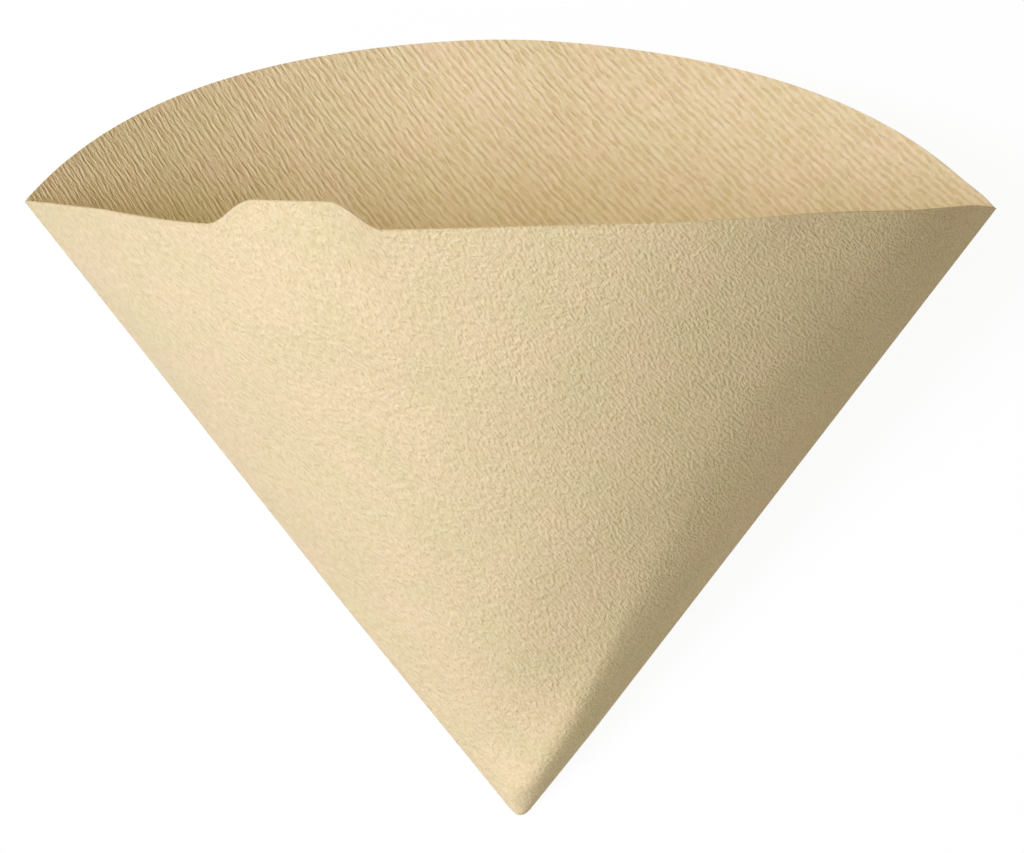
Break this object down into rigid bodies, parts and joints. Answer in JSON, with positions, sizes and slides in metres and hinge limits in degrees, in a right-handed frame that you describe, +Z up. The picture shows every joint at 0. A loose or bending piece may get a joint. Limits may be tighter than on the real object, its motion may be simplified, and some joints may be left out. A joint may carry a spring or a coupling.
{
  "type": "paper coffee filter",
  "caption": "Cone coffee filter of unbleached crepe paper, folded along one edge and crimped along the other, opened, with a thumb tab on its front rim.",
  "frame": {"origin": "middle of the footprint's box, on the surface that the filter lies on", "axes": "+Y from the tip to the mouth, +X from the folded edge to the crimped edge, +Z up, out of the back panel that it lies on"},
  "size_m": [0.138, 0.1158, 0.091],
  "materials": {
    "crepe_paper": "matte unbleached crepe paper"
  },
  "bodies": {
    "root": {"paper_filter": "crepe_paper"}
  },
  "joints": []
}
